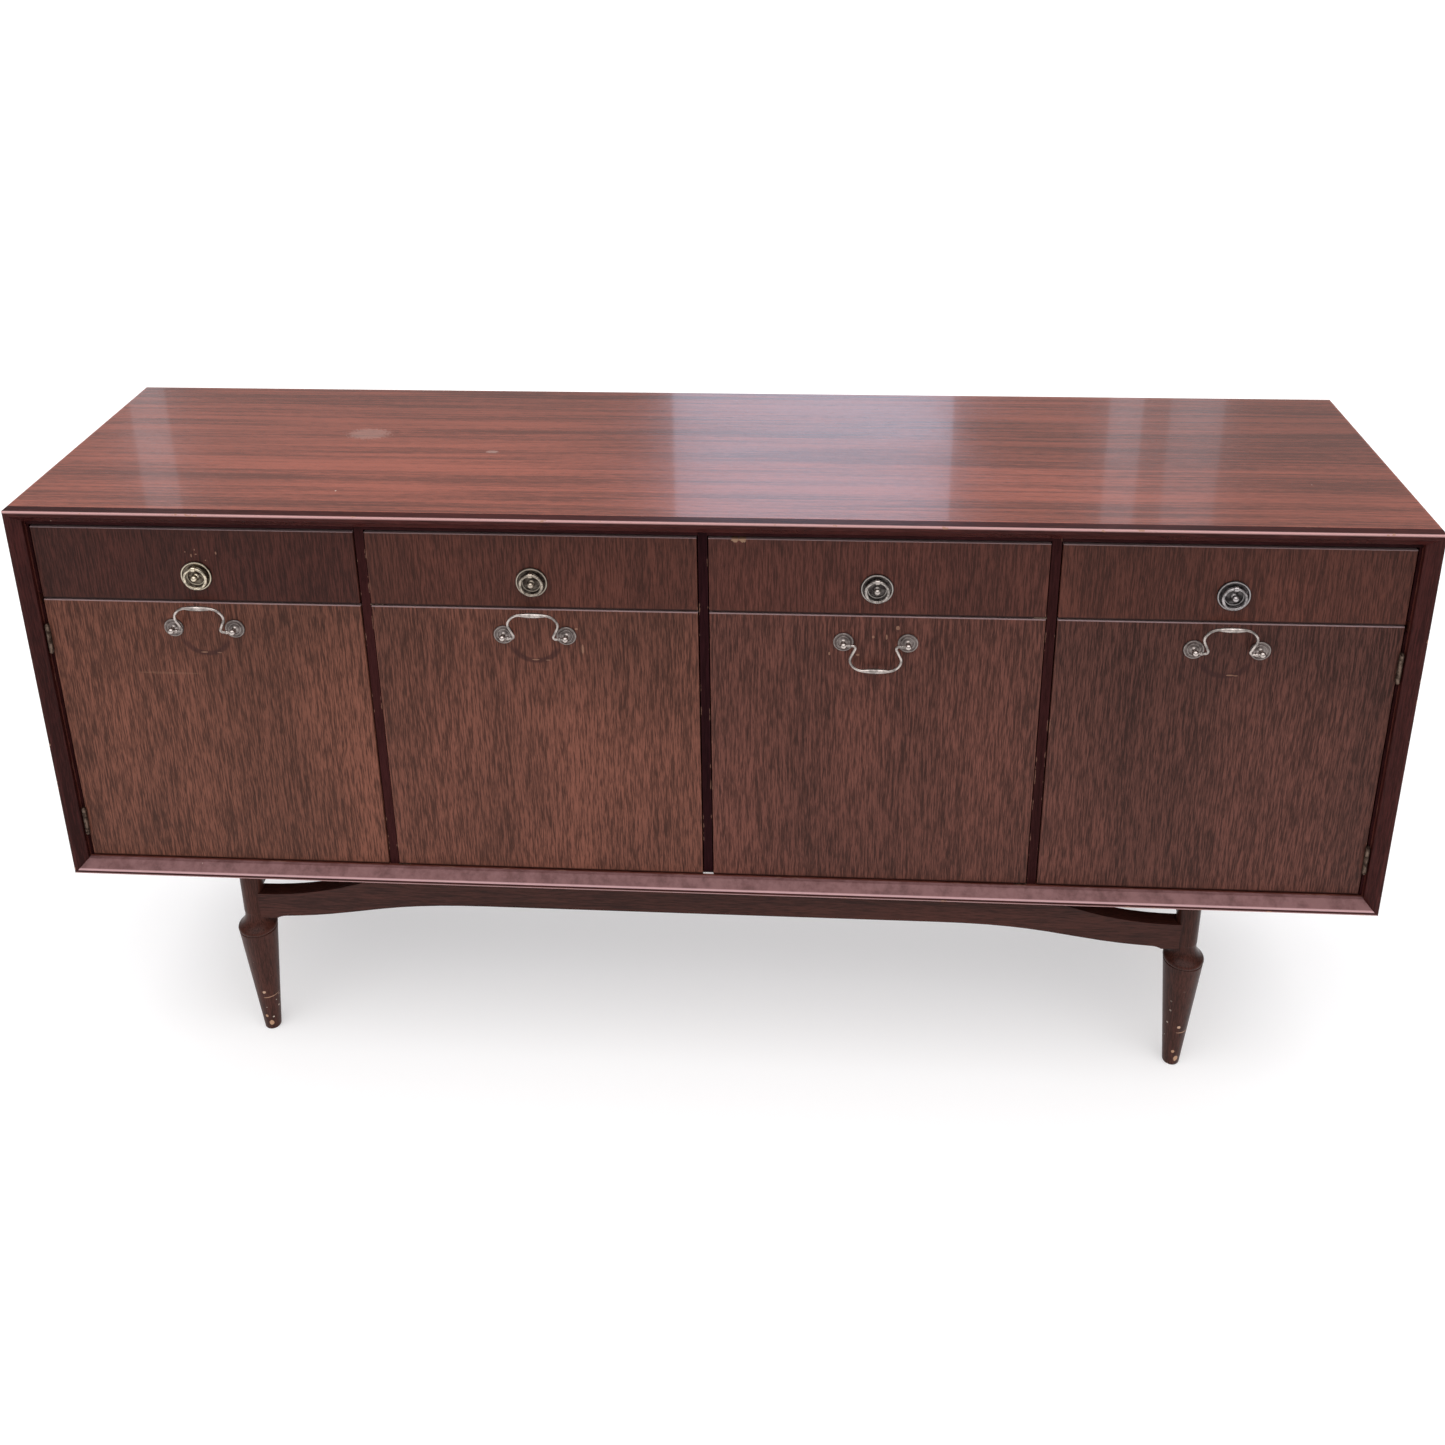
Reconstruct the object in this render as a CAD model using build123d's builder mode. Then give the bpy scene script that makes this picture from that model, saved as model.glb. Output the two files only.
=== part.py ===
from build123d import *
from math import acos, asin, degrees, sqrt
import os

# A long sideboard: four drawers over four doors in a mitred case, on a low stand with turned legs.
# Millimetres, +Z up, the front faces -Y and +X is to the right of someone facing the front.
# The origin is on the floor, under the middle of the case.

# Driving dimensions
width = 1676                # 5 ft 6 in
depth = 420                 # 16 1/2 in
height = 814                # 32 in
case_height = 528
board = 17                  # veneered boards of the case
lip_flat = 6.5              # flat front edge of the solid lipping
lip_bevel_depth = 10.5      # how far the inner bevel runs back
lip_depth = 16
lip_round = 2.2             # rounded outer arris
face_recess = 17            # front plane to drawer and door faces
front_thickness = 16
front_width = 397.5
strip = 14                  # from one front to the next, across a partition
partition_thickness = 11
partition_setback = 3       # behind the faces
drawer_top = 786.5
drawer_bottom = 689.5
door_top = 687.0
door_bottom = 305.5
door_edge_round = 0.8

# Worked out from them
half_width = width / 2
half_depth = depth / 2
base = height - case_height             # underside of the case
inner_top = height - board
inner_bottom = base + board
inner_side = half_width - board
pitch = front_width + strip             # from one bay centre to the next
bay_centres = [pitch * (i - 1.5) for i in range(4)]
partition_centres = [-pitch, 0, pitch]
partition_face = partition_thickness / 2
drawer_height = drawer_top - drawer_bottom
door_height = door_top - door_bottom


def at(distance_back):
    """The y of a plane this far behind the front of the case."""
    return distance_back - half_depth


face = at(face_recess)
front_back = at(face_recess + front_thickness)

# Back panel, in a rebate round the back of the four boards
rebate_width = 8
rebate_depth = 6
panel_thickness = 5
screw_inset = 12.5          # from the outside of the case
screw_shank = 1.5
screw_length = 18
screw_columns = [-780, -520, -260, 0, 260, 520, 780]
screw_rows = [-134, 0, 134]             # from the middle of the case

# Inside the case
rail_depth = 40
top_rail_bottom = 790
divider_top = 694
divider_thickness = 15
divider_front = 36
runner_back = 404
runner_height = 10
runner_width = 12
shelf_height = 480
shelf_thickness = 12
shelf_front = 62
shelf_back = 404
peg_radius = 2.5
peg_out = 9
peg_in = 5
peg_rows = [at(110), at(350)]

# Drawer boxes
box_half_width = 195
box_side = 10
box_bottom = 694.4
box_top = 768
box_back = 385
ply = 4
ply_lift = 6
groove = 4

# Ring pulls
pull_height = 724
plate_radius = 19.3
ring_radius = 13.2
ring_wire = 1.9
ring_out = 5.8              # ring plane in front of the drawer face
ring_pivot = 11.5           # ring pivot above the middle of the plate

# Bail handles
handle_half = 38.5
handle_height = 651.8
handle_out = 10             # bail pivot in front of the door face
bail_reach = 34
bail_wire = 1.7
bail_swell = 3.3
bail_pin = 1.5
bail_lean = 5               # a raised bail leans this far out from upright

# Outer door hinges, with their knuckles in front of the faces
hinge_length = 38
hinge_reach = 1             # knuckle axis to either leaf
hinge_inset = 35
knuckle_radius = 2.6
knuckle_x = front_width / 2 + hinge_reach      # from the bay centre
knuckle_y = at(13.9)
leaf = 1.2
fixed_leaf_back = 40
door_leaf_back = 32
pin_radius = 1.25
running = 0.05              # radial clearance of a running pin
strip_width = 3             # hinge strip on the inside of each end board

# Inner doors turn on pins near their outer edges
pivot_in = 7.5              # from the door's edge
pivot_back = 4              # behind the door's face
pivot_radius = 1.75
pivot_length = 9
pivot_plate = 1.2

# Magnetic catches behind the free edges of the doors
catch_width = 20
catch_inset = 17            # catch middle to the door's free edge
catch_front = 34.3
catch_back = 50
catch_height = 12
keeper_thickness = 0.9

# Stand
leg_x = 620
leg_back = 45               # leg axis from the front and from the back of the case
column = 15
collar = 26
foot = 11
rail_thickness = 22
rail_end_top = 234
rail_end_bottom = 195
rail_middle = 226

os.makedirs("parts", exist_ok=True)


def save(piece, name):
    piece.label = name
    export_step(piece, "parts/" + name + ".step")


def group(name, pieces):
    """Separate solids that share one name."""
    save(Compound(label=name, children=list(pieces)), name)


def dome(radius, low, high):
    """A shallow arc from the edge of a round head up to its middle, centred on the axis."""
    rise = high - low
    curve = (radius ** 2 + rise ** 2) / (2 * rise)
    turn = degrees(asin(radius / curve))
    CenterArc((0, high - curve), curve, 90 - turn, turn)


def ball(radius, middle, neck_radius):
    """The outline of a ball on the axis, from its neck to its top; gives the height of the neck."""
    turn = degrees(acos(neck_radius / radius))
    CenterArc((0, middle), radius, -turn, 90 + turn)
    return middle - sqrt(radius ** 2 - neck_radius ** 2)


def block(x0, x1, y0, y1, z0, z1):
    with BuildPart() as made:
        with Locations(((x0 + x1) / 2, (y0 + y1) / 2, (z0 + z1) / 2)):
            Box(x1 - x0, y1 - y0, z1 - z0)
    return made.part


# Case boards, mitred at the corners

middle_z = (base + height) / 2
rebate_start = half_depth - rebate_depth
screw_spots = [(x, z) for x in screw_columns for z in (base + screw_inset, height - screw_inset)]
screw_spots += [
    (x, middle_z + row)
    for row in screw_rows for x in (screw_inset - half_width, half_width - screw_inset)
]
board_corners = {
    "left": [(-half_width, base), (-half_width, height), (-inner_side, inner_top), (-inner_side, inner_bottom)],
    "right": [(half_width, base), (half_width, height), (inner_side, inner_top), (inner_side, inner_bottom)],
    "top": [(-half_width, height), (half_width, height), (inner_side, inner_top), (-inner_side, inner_top)],
    "bottom": [(-half_width, base), (half_width, base), (inner_side, inner_bottom), (-inner_side, inner_bottom)],
}


def case_board(side):
    """One board with its mitred ends, the rebate for the back panel and that panel's screw holes."""
    with BuildPart() as made:
        with BuildSketch(Plane.XZ.offset(-half_depth)):
            Polygon(*board_corners[side], align=None)
        extrude(amount=depth - lip_depth)
        with Locations((0, half_depth, middle_z)):
            Box(width - 2 * rebate_width, 2 * rebate_depth, case_height - 2 * rebate_width, mode=Mode.SUBTRACT)
    return made.part


def screw_holes():
    with Locations(*[(x, rebate_start, z) for x, z in screw_spots]):
        Cylinder(screw_shank, 2 * screw_length, rotation=(90, 0, 0), mode=Mode.SUBTRACT)


def peg_holes(x, into):
    """Blind holes for the shelf pegs, into a board that starts at x."""
    with Locations(*[(x + into * peg_in / 2, y, shelf_height - peg_radius) for y in peg_rows]):
        Cylinder(peg_radius, peg_in, rotation=(0, 90, 0), mode=Mode.SUBTRACT)


for name in ("top", "bottom"):
    with BuildPart() as panel:
        add(case_board(name))
        screw_holes()
    save(panel.part, name + "_panel")

for name, way in (("left", -1), ("right", 1)):
    with BuildPart() as end_board:
        add(case_board(name))
        screw_holes()
        peg_holes(way * inner_side, way)
    save(end_board.part, name + "_side")


# Solid lipping round the front, with a rounded arris and an inner bevel

def lipping(length):
    """One length along X, its outer face up and its front at y = 0, mitred at both ends."""
    with BuildPart() as made:
        with BuildSketch(Plane.YZ) as section:
            Polygon(
                (0, 0), (0, -lip_flat), (lip_bevel_depth, -board), (lip_depth, -board), (lip_depth, 0),
                align=None,
            )
            fillet(section.vertices().group_by(Axis.X)[0], lip_round)
        extrude(amount=length / 2, both=True)
        with BuildSketch(Plane.XZ.offset(-lip_depth)):
            Polygon(
                (-length / 2, 0), (length / 2, 0), (length / 2 - board, -board), (board - length / 2, -board),
                align=None,
            )
        extrude(amount=lip_depth, mode=Mode.INTERSECT)
    return made.part


wide_lip = lipping(width)
tall_lip = lipping(case_height)
group("front_lipping", [
    Location((0, -half_depth, height)) * wide_lip,
    Location((0, -half_depth, base)) * mirror(wide_lip, about=Plane.XY),
    Location((-half_width, -half_depth, middle_z), (0, -90, 0)) * tall_lip,
    Location((half_width, -half_depth, middle_z), (0, 90, 0)) * tall_lip,
])


# Back panel and its screws

with BuildPart() as back_panel:
    with Locations((0, rebate_start + panel_thickness / 2, middle_z)):
        Box(width - 2 * rebate_width, panel_thickness, case_height - 2 * rebate_width)
    screw_holes()
save(back_panel.part, "back_panel")

head_radius = 3.2
head_height = 1
screw_tip = screw_length - 2
screw_point = 2
with BuildPart() as back_screw:
    with BuildSketch(Plane.XZ):
        with BuildLine():
            Polyline((0, head_height), (0, -screw_tip), (screw_shank, screw_point - screw_tip), (screw_shank, 0))
            Line((screw_shank, 0), (head_radius, 0))
            dome(head_radius, 0, head_height)
        make_face()
    revolve(axis=Axis.Z)
panel_back = rebate_start + panel_thickness
group("back_panel_screws", [
    Location((x, panel_back, z), (-90, 0, 0)) * back_screw.part for x, z in screw_spots
])


# Partitions, rails, runners and shelves

def bay_edges(i):
    """The clear width of one bay, from board to board."""
    left = -inner_side if i == 0 else partition_centres[i - 1] + partition_face
    right = inner_side if i == 3 else partition_centres[i] - partition_face
    return left, right


partition_front = at(face_recess + partition_setback)
for name, x in zip(("left", "centre", "right"), partition_centres):
    with BuildPart() as partition:
        with Locations((x, (partition_front + rebate_start) / 2, (inner_top + inner_bottom) / 2)):
            Box(partition_thickness, rebate_start - partition_front, inner_top - inner_bottom)
        for way in (-1, 1):
            peg_holes(x + way * partition_face, -way)
    save(partition.part, "partition_" + name)

divider_bottom = divider_top - divider_thickness
divider_back = divider_front + rail_depth
group("top_rails", [
    block(*bay_edges(i), face, at(face_recess + rail_depth), top_rail_bottom, inner_top) for i in range(4)
])
group("divider_rails", [
    block(*bay_edges(i), at(divider_front), at(divider_back), divider_bottom, divider_top) for i in range(4)
])

runners = []
for i in range(4):
    left, right = bay_edges(i)
    for x0, x1 in ((left, left + runner_width), (right - runner_width, right)):
        runners.append(block(x0, x1, at(divider_back), at(runner_back), divider_top - runner_height, divider_top))
group("drawer_runners", runners)

shelf_gap = 1
group("shelves", [
    block(bay_edges(i)[0] + shelf_gap, bay_edges(i)[1] - shelf_gap, at(shelf_front), at(shelf_back),
          shelf_height, shelf_height + shelf_thickness)
    for i in range(4)
])

peg_spots = [
    (x + way * (peg_out - peg_in) / 2, y, shelf_height - peg_radius)
    for i in range(4) for x, way in zip(bay_edges(i), (1, -1)) for y in peg_rows
]
with BuildPart() as shelf_pegs:
    with Locations(*peg_spots):
        Cylinder(peg_radius, peg_out + peg_in, rotation=(0, 90, 0))
save(shelf_pegs.part, "shelf_pegs")


# Butt hinges of the two outer doors. way is +1 where the door lies to the right of its hinge.

hinge_starts = [door_top - hinge_inset - hinge_length, door_bottom + hinge_inset]
outer_hinges = {0: (bay_centres[0] - knuckle_x, 1), 3: (bay_centres[3] + knuckle_x, -1)}
barrel = hinge_length / 3
barrel_gap = 0.1
barrel_relief = 0.4
head_round = 2.1


def leaf_plate(x, way, z, back):
    near = x + way * hinge_reach
    far = near + way * leaf
    return block(min(near, far), max(near, far), knuckle_y, at(back), z, z + hinge_length)


def hinge_leaf(x, way, z, back, barrels):
    """A leaf on one side of the knuckle, with the barrels numbered from the bottom."""
    others = [n for n in range(3) if n not in barrels]
    with BuildPart() as made:
        add(leaf_plate(x, way, z, back))
        with Locations(*[(x, knuckle_y, z + (n + 0.5) * barrel) for n in others]):
            Cylinder(knuckle_radius + barrel_relief, barrel + 2 * barrel_gap, mode=Mode.SUBTRACT)
        with Locations(*[(x, knuckle_y, z + (n + 0.5) * barrel) for n in barrels]):
            Cylinder(knuckle_radius, barrel - 2 * barrel_gap)
        with Locations((x, knuckle_y, z + hinge_length / 2)):
            Cylinder(pin_radius + running, 2 * hinge_length, mode=Mode.SUBTRACT)
    return made.part


with BuildPart() as hinge_pin:
    with Locations((0, 0, hinge_length / 2)):
        Cylinder(pin_radius, hinge_length)
    for sign, z in ((-1, 0), (1, hinge_length)):
        with BuildSketch(Plane.XZ):
            with BuildLine():
                Polyline((0, z + sign * head_round), (0, z), (head_round, z))
                CenterArc((0, z), head_round, 0, sign * 90)
            make_face()
        revolve(axis=Axis.Z)

group("hinge_leaves", [
    hinge_leaf(x, -way, z, fixed_leaf_back, (0, 2)) for x, way in outer_hinges.values() for z in hinge_starts
])
group("hinge_pins", [
    Location((x, knuckle_y, z)) * hinge_pin.part for x, way in outer_hinges.values() for z in hinge_starts
])

strip_front = at(19)
strip_back = at(45)
strips = []
for x, way in outer_hinges.values():
    outside = -way * inner_side
    inside = outside + way * strip_width
    span = (min(outside, inside), max(outside, inside), strip_front, strip_back)
    with BuildPart() as hinge_strip:
        add(block(*span, inner_bottom, divider_bottom))
        for z in hinge_starts:
            add(leaf_plate(x, -way, z, fixed_leaf_back), mode=Mode.SUBTRACT)
    strips.append(hinge_strip.part)
    strips.append(block(span[0], span[1], span[2], at(divider_front), divider_top, top_rail_bottom))
group("hinge_strips", strips)


# Pin pivots of the two inner doors, and the catches

bracket_width = 16
flange_height = 8
bracket_front = at(face_recess + 1.5)
bracket_gap = 0.6
inner_pivots = {
    1: (bay_centres[1] - front_width / 2 + pivot_in, 1),
    2: (bay_centres[2] + front_width / 2 - pivot_in, -1),
}
pivot_y = face + pivot_back


def pivot_bracket(x, way, upper):
    """A plate with a pin: the upper one is screwed to the divider rail by a turned-down flange."""
    board_face = x - way * (pivot_in + strip / 2 - partition_face)
    left = min(board_face, board_face + way * bracket_width)
    right = left + bracket_width
    low = door_top + bracket_gap if upper else inner_bottom
    back = at(divider_front)
    with BuildPart() as made:
        add(block(left, right, bracket_front, back, low, low + pivot_plate))
        if upper:
            add(block(left, right, back - pivot_plate, back, low - flange_height, low + pivot_plate))
        pin_middle = low - pivot_length / 2 if upper else low + pivot_plate + pivot_length / 2
        with Locations((x, pivot_y, pin_middle)):
            Cylinder(pivot_radius, pivot_length)
    return made.part


group("pivot_brackets", [
    pivot_bracket(x, way, upper) for x, way in inner_pivots.values() for upper in (True, False)
])

ways = [1, 1, -1, -1]       # doors one and two are hinged on the left, three and four on the right


def catch_middle(i):
    return bay_centres[i] + ways[i] * (front_width / 2 - catch_inset)


group("door_catches", [
    block(catch_middle(i) - catch_width / 2, catch_middle(i) + catch_width / 2,
          at(catch_front), at(catch_back), divider_bottom - catch_height, divider_bottom)
    for i in range(4)
])


# Stand: four turned legs, bow-shaped long rails and straight end rails

def column_clearance(x, y):
    """Takes away the upper part of a leg, where a rail is housed round it."""
    with Locations((x, y, base)):
        Cylinder(column, 2 * (base - cove_top), mode=Mode.SUBTRACT)


cove_top = 190              # lowest part of the leg that a rail may meet
cove_end = 203
cove_middle = (17.6, 186.5)
shoulder = 179
shoulder_radius = collar - 1.6
groove_top = 173.4
groove_middle = (collar - 2, 172.2)
groove_bottom = 171
groove_edge = collar - 0.6
toe = 2.5
with BuildPart() as leg:
    with BuildSketch(Plane.XZ):
        with BuildLine():
            Polyline((groove_edge, groove_bottom), (foot, toe))
            RadiusArc((foot, toe), (foot - toe, 0), toe)
            Polyline((foot - toe, 0), (0, 0), (0, base), (column, base), (column, cove_end))
            ThreePointArc((column, cove_end), cove_middle, (shoulder_radius, shoulder))
            ThreePointArc((shoulder_radius, shoulder), (collar, (shoulder + groove_top) / 2), (groove_edge, groove_top))
            Polyline((groove_edge, groove_top), groove_middle, (groove_edge, groove_bottom))
        make_face()
    revolve(axis=Axis.Z)

leg_rows = {"front": at(leg_back), "back": -at(leg_back)}
for row, y in leg_rows.items():
    for side, x in (("left", -leg_x), ("right", leg_x)):
        save(Location((x, y, 0)) * leg.part, "leg_" + row + "_" + side)

scoop_start = leg_x - column
scoop_end = 400
scoop_middle = (500, 247)
arch = [(300, rail_middle), (423, 219), (511, 205), (575, 199)]
arch_tangents = ((1, 0), (1, -0.06))
nose_middle = (583, 197.2)
nose_end = (587, rail_end_bottom)
with BuildPart() as front_rail:
    with BuildSketch(Plane.XZ.offset(-at(leg_back) - rail_thickness / 2)):
        with BuildLine():
            Line((0, rail_middle), arch[0])
            Spline(*arch, tangents=arch_tangents)
            ThreePointArc(arch[-1], nose_middle, nose_end)
            Polyline(nose_end, (leg_x, rail_end_bottom), (leg_x, rail_end_top), (scoop_start, rail_end_top))
            ThreePointArc((scoop_start, rail_end_top), scoop_middle, (scoop_end, base))
            Line((scoop_end, base), (0, base))
            mirror(about=Plane.YZ)
        make_face()
    extrude(amount=rail_thickness)
    for x in (-leg_x, leg_x):
        column_clearance(x, at(leg_back))
save(front_rail.part, "stand_front_rail")
save(Location((0, depth - 2 * leg_back, 0)) * front_rail.part, "stand_back_rail")

end_rails = []
for x in (-leg_x, leg_x):
    with BuildPart() as end_rail:
        add(block(x - rail_thickness / 2, x + rail_thickness / 2, at(leg_back), -at(leg_back), rail_end_top, base))
        for y in leg_rows.values():
            column_clearance(x, y)
    end_rails.append(end_rail.part)
group("stand_end_rails", end_rails)


# Drawers: a front, a box with its bottom in grooves, and a ring pull

def rounded_front(x, low, tall):
    """A drawer front or a door, its front edges slightly eased."""
    with BuildPart() as made:
        with Locations((x, (face + front_back) / 2, low + tall / 2)):
            Box(front_width, front_thickness, tall)
        fillet(made.faces().sort_by(Axis.Y)[0].edges(), door_edge_round)
    return made.part


def drawer_box(x):
    left = x - box_half_width
    right = x + box_half_width
    ply_low = box_bottom + ply_lift
    bottom = block(left + box_side - groove, right - box_side + groove, front_back, at(box_back),
                   ply_low, ply_low + ply)
    pieces = [bottom]
    for x0, x1 in ((left, left + box_side), (right - box_side, right)):
        with BuildPart() as box_side_board:
            add(block(x0, x1, front_back, at(box_back), box_bottom, box_top))
            add(bottom, mode=Mode.SUBTRACT)
        pieces.append(box_side_board.part)
    pieces.append(block(left + box_side, right - box_side, at(box_back - box_side), at(box_back),
                        ply_low + ply, box_top))
    return pieces


rim = 1.3                   # radius of the beads on the plate
disc = 1.3                  # thickness of its flat
plate_edge = 1.0
edge_bead = (plate_radius - 1.2, 2.7)
edge_inside = plate_radius - 2.8
bead_circle = 11.3
flare = [(5.6, disc), (3.6, 2.3), (2.2, 3.5)]
knob_radius = 4
knob_out = 8.2
knob_neck = 1.8
lug_width = 4.4
lug_radius = 3.4
lug_hole = 2.3
bolt_radius = 4
bolt_edge = 0.5
bolt_height = 1.8


with BuildPart() as plate:
    with BuildSketch(Plane.XZ):
        with BuildLine():
            Polyline((0, 0), (plate_radius, 0), (plate_radius, plate_edge))
            ThreePointArc((plate_radius, plate_edge), edge_bead, (edge_inside, disc))
            Line((edge_inside, disc), (bead_circle + rim, disc))
            ThreePointArc((bead_circle + rim, disc), (bead_circle, disc + rim), (bead_circle - rim, disc))
            Line((bead_circle - rim, disc), flare[0])
            ThreePointArc(*flare)
            Line(flare[-1], (knob_neck, ball(knob_radius, knob_out, knob_neck)))
            Line((0, knob_out + knob_radius), (0, 0))
        make_face()
    revolve(axis=Axis.Z)
    with Locations((0, ring_pivot, ring_out)):
        Cylinder(lug_radius, lug_width, rotation=(0, 90, 0))
    with Locations((0, ring_pivot, ring_out / 2)):
        Box(lug_width, lug_radius * 1.6, ring_out - 0.6)
    with Locations((0, ring_pivot, ring_out)):
        Cylinder(lug_hole, 2 * lug_width, rotation=(0, 90, 0), mode=Mode.SUBTRACT)

with BuildPart() as bolt_head:
    with BuildSketch(Plane.XZ):
        with BuildLine():
            Polyline((0, bolt_height), (0, 0), (bolt_radius, 0), (bolt_radius, bolt_edge))
            dome(bolt_radius, bolt_edge, bolt_height)
        make_face()
    revolve(axis=Axis.Z)

with BuildPart() as ring:
    with Locations((0, ring_pivot - ring_radius, ring_out)):
        Torus(ring_radius, ring_wire)

for i, x in enumerate(bay_centres):
    number = str(i + 1)
    save(rounded_front(x, drawer_bottom, drawer_height), "drawer_" + number + "_front")
    group("drawer_" + number + "_box", drawer_box(x))
    on_front = Location((x, face, pull_height), (90, 0, 0))
    group("pull_" + number + "_plate", [
        on_front * plate.part,
        Location((x, front_back, pull_height), (-90, 0, 0)) * bolt_head.part,
    ])
    save(on_front * ring.part, "pull_" + number + "_ring")


# Doors: a panel, its metal fittings, and a bail handle between two rosettes

rosette_radius = 12.3
boss_radius = 4
neck = 2.1
outer_bead = [(rosette_radius, 0.9), (11.3, 2.1), (10, 1.2)]
inner_bead = [(8.3, 1.2), (7.4, 2.1), (6.5, 1.4)]
boss_flare = [(5, 1.6), (3.3, 2.6), (neck + 0.2, 4.2)]
with BuildPart() as rosette:
    with BuildSketch(Plane.XZ):
        with BuildLine():
            Polyline((0, 0), (rosette_radius, 0), outer_bead[0])
            ThreePointArc(*outer_bead)
            Line(outer_bead[-1], inner_bead[0])
            ThreePointArc(*inner_bead)
            Line(inner_bead[-1], boss_flare[0])
            ThreePointArc(*boss_flare)
            Line(boss_flare[-1], (neck, ball(boss_radius, handle_out, neck)))
            Line((0, handle_out + boss_radius), (0, 0))
        make_face()
    revolve(axis=Axis.Z)
    with Locations((boss_radius, 0, handle_out)):
        Cylinder(bail_pin + running, 2 * boss_radius + 4, rotation=(0, 90, 0), mode=Mode.SUBTRACT)

bead = 2.5
bead_x = handle_half - boss_radius - bead - 0.3
pin_end = handle_half + 1
swell_half = 17
swell_end = bail_reach + bail_wire - 0.15
half_bend = [(bead_x, 0), (22.5, 0), (32, 20.5), (23.5, bail_reach)]
bail_corners = half_bend + [(-x, y) for x, y in reversed(half_bend)]
corner_radii = [3.2, 11, 17, 17, 11, 3.2]
with BuildPart() as bail:
    with BuildLine() as wire:
        FilletPolyline(*bail_corners, radius=corner_radii)
    with BuildSketch(Plane(origin=wire.line @ 0, z_dir=wire.line % 0)):
        Circle(bail_wire)
    sweep()
    with Locations((bead_x, 0, 0), (-bead_x, 0, 0)):
        Sphere(bead)
    for way in (-1, 1):
        with Locations((way * (bead_x + pin_end) / 2, 0, 0)):
            Cylinder(bail_pin, pin_end - bead_x, rotation=(0, 90, 0))
    with BuildSketch(Plane.XY):
        with BuildLine():
            Polyline(
                (-swell_half, swell_end), (-swell_half, bail_reach), (swell_half, bail_reach), (swell_half, swell_end),
            )
            ThreePointArc((swell_half, swell_end), (0, bail_reach + bail_swell), (-swell_half, swell_end))
        make_face()
    revolve(axis=Axis((0, bail_reach, 0), (1, 0, 0)))

corner_cut = 4
pin_hole = pivot_length + 1.5
raised = 90 + bail_lean     # the bail's turn from lying flat towards the back
hanging = -90
bail_turns = [raised, raised, hanging, raised]

for i, x in enumerate(bay_centres):
    number = str(i + 1)
    way = ways[i]
    fittings = [block(catch_middle(i) - catch_width / 2 - 1, catch_middle(i) + catch_width / 2 + 1,
                      front_back, front_back + keeper_thickness,
                      divider_bottom - catch_height - 2, divider_bottom + 2)]
    with BuildPart() as door:
        add(rounded_front(x, door_bottom, door_height))
        if i in outer_hinges:
            for z in hinge_starts:
                add(leaf_plate(outer_hinges[i][0], way, z, door_leaf_back), mode=Mode.SUBTRACT)
        else:
            pin_x = inner_pivots[i][0]
            chamfer(door.edges().filter_by(Axis.Z).group_by(Axis.Y)[-1].sort_by(Axis.X)[0 if way > 0 else -1],
                    corner_cut)
            with Locations((pin_x, pivot_y, door_top), (pin_x, pivot_y, door_bottom)):
                Cylinder(pivot_radius + running, 2 * pin_hole, mode=Mode.SUBTRACT)
    save(door.part, "door_" + number + "_panel")
    if i in outer_hinges:
        fittings += [hinge_leaf(outer_hinges[i][0], way, z, door_leaf_back, (1,)) for z in hinge_starts]
    group("door_" + number + "_fittings", fittings)

    rosettes = []
    for side in (-1, 1):
        spot = x + side * handle_half
        turn = (90, 0, 0) if side < 0 else (90, 0, 180)
        rosettes.append(Location((spot, face, handle_height), turn) * rosette.part)
        rosettes.append(Location((spot, front_back, handle_height), (-90, 0, 0)) * bolt_head.part)
    group("handle_" + number + "_rosettes", rosettes)
    placed = Location((x, face - handle_out, handle_height), (bail_turns[i], 0, 0)) * bail.part
    save(placed, "handle_" + number + "_bail")
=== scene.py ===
import math
import random

import bmesh
import bpy
from mathutils import Matrix, Vector


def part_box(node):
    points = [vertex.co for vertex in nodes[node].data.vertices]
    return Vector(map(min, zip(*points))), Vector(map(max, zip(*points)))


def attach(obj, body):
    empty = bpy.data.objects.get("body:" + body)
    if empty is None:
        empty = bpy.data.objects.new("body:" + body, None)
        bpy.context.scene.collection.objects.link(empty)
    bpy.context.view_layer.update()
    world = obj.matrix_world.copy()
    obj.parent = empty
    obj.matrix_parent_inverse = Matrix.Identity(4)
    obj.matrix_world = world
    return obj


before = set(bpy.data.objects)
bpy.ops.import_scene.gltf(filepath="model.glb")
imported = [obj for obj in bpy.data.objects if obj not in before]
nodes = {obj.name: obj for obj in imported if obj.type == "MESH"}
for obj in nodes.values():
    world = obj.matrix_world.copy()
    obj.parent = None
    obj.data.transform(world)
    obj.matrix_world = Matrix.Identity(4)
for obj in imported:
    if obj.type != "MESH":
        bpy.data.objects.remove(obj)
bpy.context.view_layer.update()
random.seed(1962)
print("loaded", len(nodes), "solid pieces of the sideboard")


# small helpers for shader nodes
def tint(red, green, blue):     # a colour as seen on a screen, 0 to 255
    def linear(v):
        v = v / 255
        return v / 12.92 if v <= 0.04045 else ((v + 0.055) / 1.055) ** 2.4
    return (linear(red), linear(green), linear(blue), 1.0)


def scaled(colour, share):
    return tuple(min(1.0, c * share) for c in colour[:3]) + (1.0,)


def newFinish(name):
    finish = bpy.data.materials.new(name)
    finish.use_nodes = True
    tree = finish.node_tree
    tree.nodes.clear()
    out = tree.nodes.new("ShaderNodeOutputMaterial")
    shader = tree.nodes.new("ShaderNodeBsdfPrincipled")
    tree.links.new(shader.outputs[0], out.inputs[0])
    return finish, tree, shader


def join(tree, value, socket):
    if isinstance(value, bpy.types.NodeSocket):
        tree.links.new(value, socket)
    else:
        socket.default_value = value


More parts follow.
